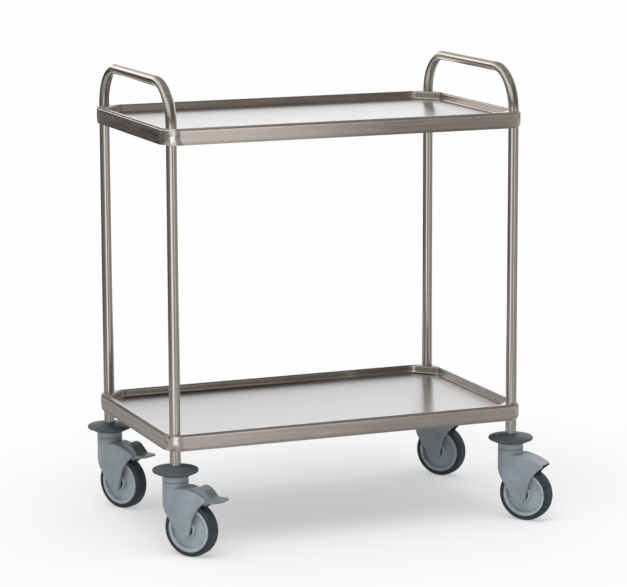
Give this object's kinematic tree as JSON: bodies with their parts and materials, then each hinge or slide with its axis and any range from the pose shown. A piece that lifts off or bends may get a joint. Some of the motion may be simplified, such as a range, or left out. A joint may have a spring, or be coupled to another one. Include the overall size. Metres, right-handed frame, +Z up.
{
  "type": "serving trolley",
  "caption": "Steel serving trolley with deep-drawn shelves between bent tube end frames that form the handles, on swivel castors with bumper discs and foot brakes.",
  "frame": {"origin": "on the floor, under the plan centre of the four legs", "axes": "+X along the long side from the braked castors to the free ones, +Y across from front to back, +Z up"},
  "size_m": [0.9561, 0.639, 1.0645],
  "materials": {
    "tube": "polished stainless tube",
    "sheet": "fine brushed stainless sheet",
    "weld": "as welded and brushed",
    "pad": "matt sound-deadening mat",
    "expander": "matt",
    "bright_steel": "bright zinc-plated",
    "housing": "fine-grained moulded plastic",
    "wheel": "satin moulded plastic",
    "pedal": "satin moulded plastic",
    "bumper": "matt moulded",
    "shoe": "matt",
    "tyre": "smooth non-marking tread"
  },
  "bodies": {
    "frame": {"left_end_frame": "tube", "right_end_frame": "tube", "top_shelf": "sheet", "lower_shelf": "sheet", "top_shelf_welds": "weld", "lower_shelf_welds": "weld", "top_shelf_stiffener": "sheet", "lower_shelf_stiffener": "sheet", "top_shelf_pads": "pad", "lower_shelf_pads": "pad", "expanders": "expander", "bumper_disc_front_left": "bumper", "swivel_cap_front_left": "housing", "stem_front_left": "bright_steel", "bumper_disc_back_left": "bumper", "swivel_cap_back_left": "housing", "stem_back_left": "bright_steel", "bumper_disc_front_right": "bumper", "swivel_cap_front_right": "housing", "stem_front_right": "bright_steel", "bumper_disc_back_right": "bumper", "swivel_cap_back_right": "housing", "stem_back_right": "bright_steel"},
    "swivel_front_left": {"fork_front_left": "housing", "swivel_bearings_front_left": "bright_steel", "axle_front_left": "bright_steel", "pedal_pin_front_left": "bright_steel"},
    "wheel_front_left": {"wheel_centre_front_left": "wheel", "tyre_front_left": "tyre", "wheel_bearings_front_left": "bright_steel"},
    "pedal_front_left": {"brake_pedal_front_left": "pedal", "brake_shoe_front_left": "shoe"},
    "swivel_back_left": {"fork_back_left": "housing", "swivel_bearings_back_left": "bright_steel", "axle_back_left": "bright_steel", "pedal_pin_back_left": "bright_steel"},
    "wheel_back_left": {"wheel_centre_back_left": "wheel", "tyre_back_left": "tyre", "wheel_bearings_back_left": "bright_steel"},
    "pedal_back_left": {"brake_pedal_back_left": "pedal", "brake_shoe_back_left": "shoe"},
    "swivel_front_right": {"fork_front_right": "housing", "swivel_bearings_front_right": "bright_steel", "axle_front_right": "bright_steel"},
    "wheel_front_right": {"wheel_centre_front_right": "wheel", "tyre_front_right": "tyre", "wheel_bearings_front_right": "bright_steel"},
    "swivel_back_right": {"fork_back_right": "housing", "swivel_bearings_back_right": "bright_steel", "axle_back_right": "bright_steel"},
    "wheel_back_right": {"wheel_centre_back_right": "wheel", "tyre_back_right": "tyre", "wheel_bearings_back_right": "bright_steel"}
  },
  "joints": [
    {"name": "swivel_front_left", "type": "hinge", "parent": "frame", "child": "swivel_front_left", "pos_m": [-0.414, -0.2385, 0.1488], "axis": [0, 0, 1], "continuous": true},
    {"name": "roll_front_left", "type": "hinge", "parent": "swivel_front_left", "child": "wheel_front_left", "pos_m": [-0.3882, -0.27036, 0.0625], "axis": [0.7771, 0.6293, 0], "continuous": true},
    {"name": "pedal_front_left", "type": "hinge", "parent": "swivel_front_left", "child": "pedal_front_left", "pos_m": [-0.3764, -0.28493, 0.14188], "axis": [0.7771, 0.6293, 0], "range_deg": [0, 12]},
    {"name": "swivel_back_left", "type": "hinge", "parent": "frame", "child": "swivel_back_left", "pos_m": [-0.414, 0.2385, 0.1488], "axis": [0, 0, 1], "continuous": true},
    {"name": "roll_back_left", "type": "hinge", "parent": "swivel_back_left", "child": "wheel_back_left", "pos_m": [-0.39319, 0.20317, 0.0625], "axis": [0.8616, 0.5075, 0], "continuous": true},
    {"name": "pedal_back_left", "type": "hinge", "parent": "swivel_back_left", "child": "pedal_back_left", "pos_m": [-0.38367, 0.18702, 0.14188], "axis": [0.8616, 0.5075, 0], "range_deg": [0, 12]},
    {"name": "swivel_front_right", "type": "hinge", "parent": "frame", "child": "swivel_front_right", "pos_m": [0.414, -0.2385, 0.1488], "axis": [0, 0, 1], "continuous": true},
    {"name": "roll_front_right", "type": "hinge", "parent": "swivel_front_right", "child": "wheel_front_right", "pos_m": [0.44035, -0.26991, 0.0625], "axis": [0.766, 0.6428, 0], "continuous": true},
    {"name": "swivel_back_right", "type": "hinge", "parent": "frame", "child": "swivel_back_right", "pos_m": [0.414, 0.2385, 0.1488], "axis": [0, 0, 1], "continuous": true},
    {"name": "roll_back_right", "type": "hinge", "parent": "swivel_back_right", "child": "wheel_back_right", "pos_m": [0.43924, 0.20619, 0.0625], "axis": [0.788, 0.6157, 0], "continuous": true}
  ]
}
